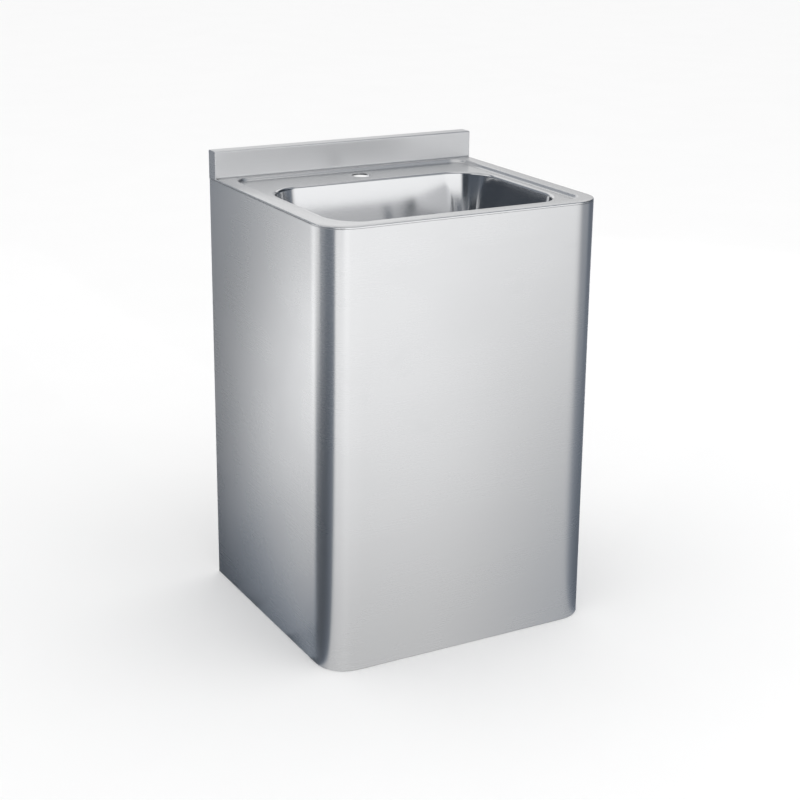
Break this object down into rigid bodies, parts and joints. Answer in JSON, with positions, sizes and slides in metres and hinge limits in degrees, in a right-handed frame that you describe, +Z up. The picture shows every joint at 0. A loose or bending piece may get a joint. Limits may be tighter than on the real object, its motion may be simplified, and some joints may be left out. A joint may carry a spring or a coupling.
{
  "type": "shrouded wash basin",
  "caption": "Floor-standing stainless steel wash basin with a wrapped shroud, raised rim, recessed deck with an open tap hole, polished bowl, box splashback and bottle trap.",
  "frame": {"origin": "middle of the outline on the floor, at the lowest point of the shroud", "axes": "+Z up, front towards -Y, wall at +Y, +X to the right of someone facing the basin"},
  "size_m": [0.545, 0.5, 0.85],
  "materials": {
    "satin_steel": "brushed",
    "polished_steel": "polished",
    "fixing_steel": "plain",
    "trap_plastic": "moulded",
    "seal_rubber": "matt",
    "pad_rubber": "matt"
  },
  "bodies": {
    "basin": {"shroud": "satin_steel", "basin_top": "satin_steel", "splashback": "satin_steel", "splashback_end_left": "satin_steel", "splashback_end_right": "satin_steel", "tap_plate": "satin_steel", "rear_top_rail": "satin_steel", "rear_tie_bar": "satin_steel", "bowl": "polished_steel", "waste_body": "polished_steel", "waste_backnut": "polished_steel", "rim_studs": "fixing_steel", "rim_nuts": "fixing_steel", "inlet_nut": "trap_plastic", "inlet_tube": "trap_plastic", "body_nut": "trap_plastic", "trap_body": "trap_plastic", "outlet_nut": "trap_plastic", "outlet_pipe": "trap_plastic", "waste_top_seal": "seal_rubber", "waste_under_seal": "seal_rubber", "inlet_seal": "seal_rubber", "body_seal": "seal_rubber", "outlet_seal": "seal_rubber", "sound_pad": "pad_rubber"},
    "strainer": {"strainer": "polished_steel"},
    "trap_cup": {"trap_cup": "trap_plastic", "cup_seal": "seal_rubber"},
    "cup_ring": {"cup_ring": "trap_plastic"}
  },
  "joints": [
    {"name": "strainer_lift", "type": "slide", "parent": "basin", "child": "strainer", "axis": [0, 0, 1], "range_m": [0, 0.22]},
    {"name": "cup_drop", "type": "slide", "parent": "basin", "child": "trap_cup", "axis": [0, 0, -1], "range_m": [0, 0.0161]},
    {"name": "ring_turn", "type": "hinge", "parent": "trap_cup", "child": "cup_ring", "pos_m": [0, -0.0425, 0.479], "axis": [0, 0, -1], "range_deg": [0, 1440]}
  ],
  "couplings": [
    {"joint": "cup_drop", "follows": "ring_turn", "m_per_rad": 0.00063662}
  ]
}
